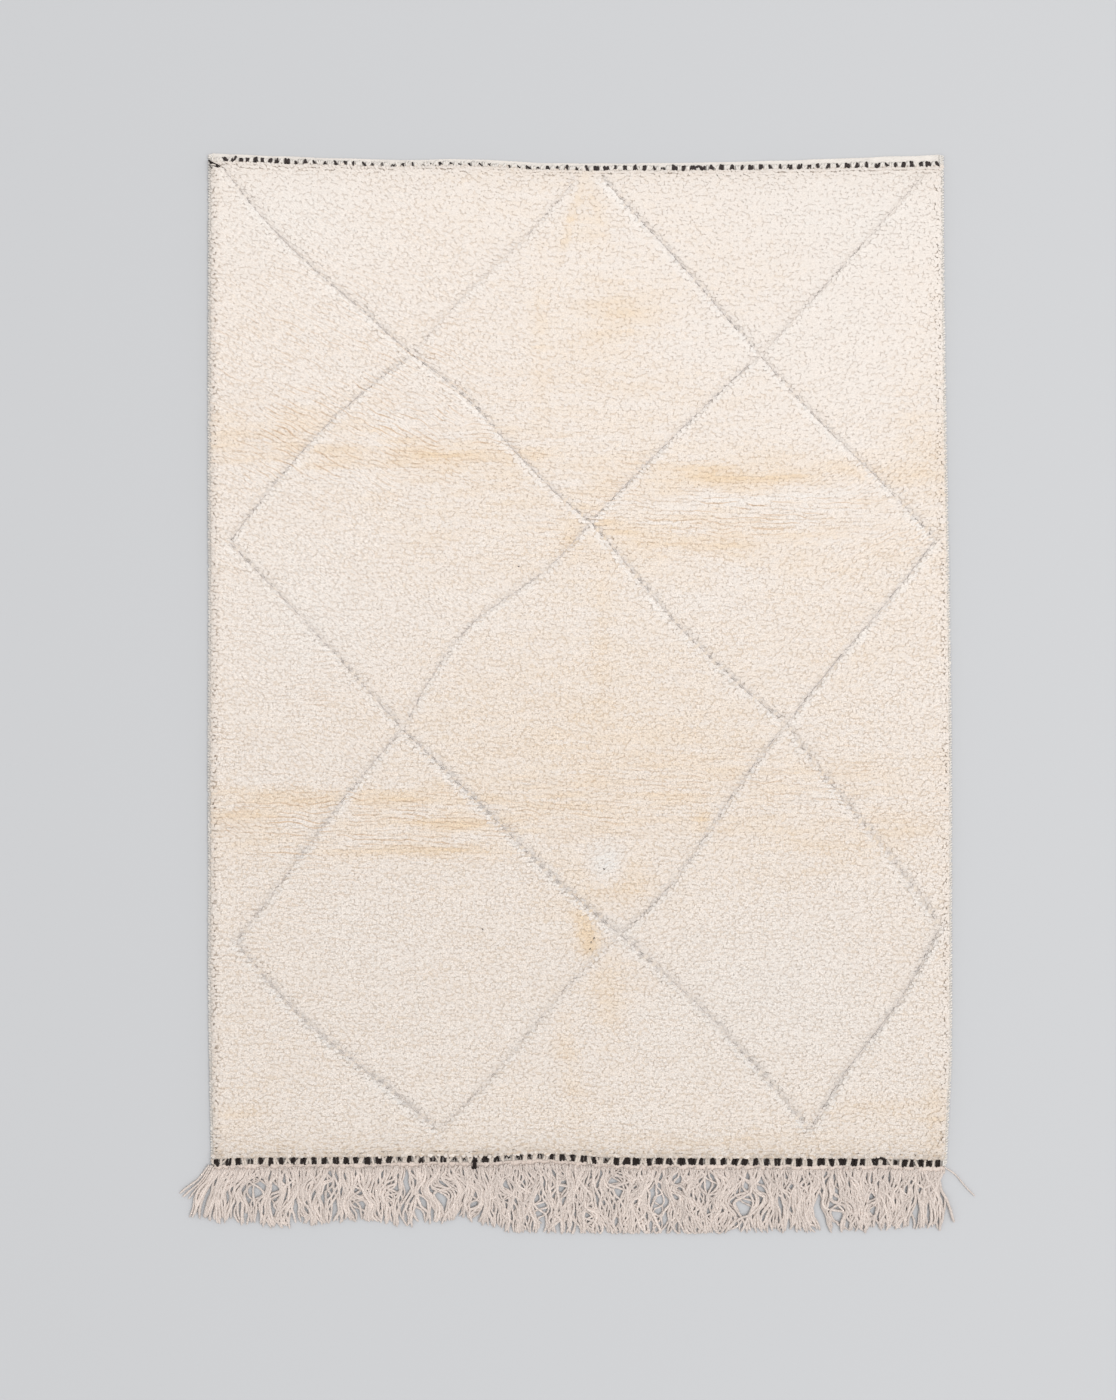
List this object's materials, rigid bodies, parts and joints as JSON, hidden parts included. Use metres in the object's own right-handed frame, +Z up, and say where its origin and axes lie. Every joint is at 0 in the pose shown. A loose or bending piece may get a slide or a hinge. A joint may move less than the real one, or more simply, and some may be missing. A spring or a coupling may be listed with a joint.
{
  "type": "beni ourain rug",
  "caption": "Hand-knotted ivory wool pile rug with a sunken diamond lattice, black twined end rows, overcast sides and a long warp fringe at one end, lying flat.",
  "frame": {"origin": "on the floor, under the middle of the rug's bounding box", "axes": "+Z up, +Y towards the plain hem end, the fringe at -Y"},
  "size_m": [1.6191, 2.1902, 0.019],
  "materials": {
    "ivory_pile": "matt knotted wool pile, warm ivory",
    "twined_wool": "black and cream wool, twined",
    "edge_wool": "off-white wool overcasting",
    "warp_yarn": "plied warp yarn, pinkish beige",
    "black_yarn": "black wool yarn"
  },
  "bodies": {
    "root": {"rug_body": "ivory_pile", "top_twined_row": "twined_wool", "bottom_twined_row": "twined_wool", "left_selvedge": "edge_wool", "right_selvedge": "edge_wool", "fringe": "warp_yarn", "yarn_tail": "black_yarn"}
  },
  "joints": []
}
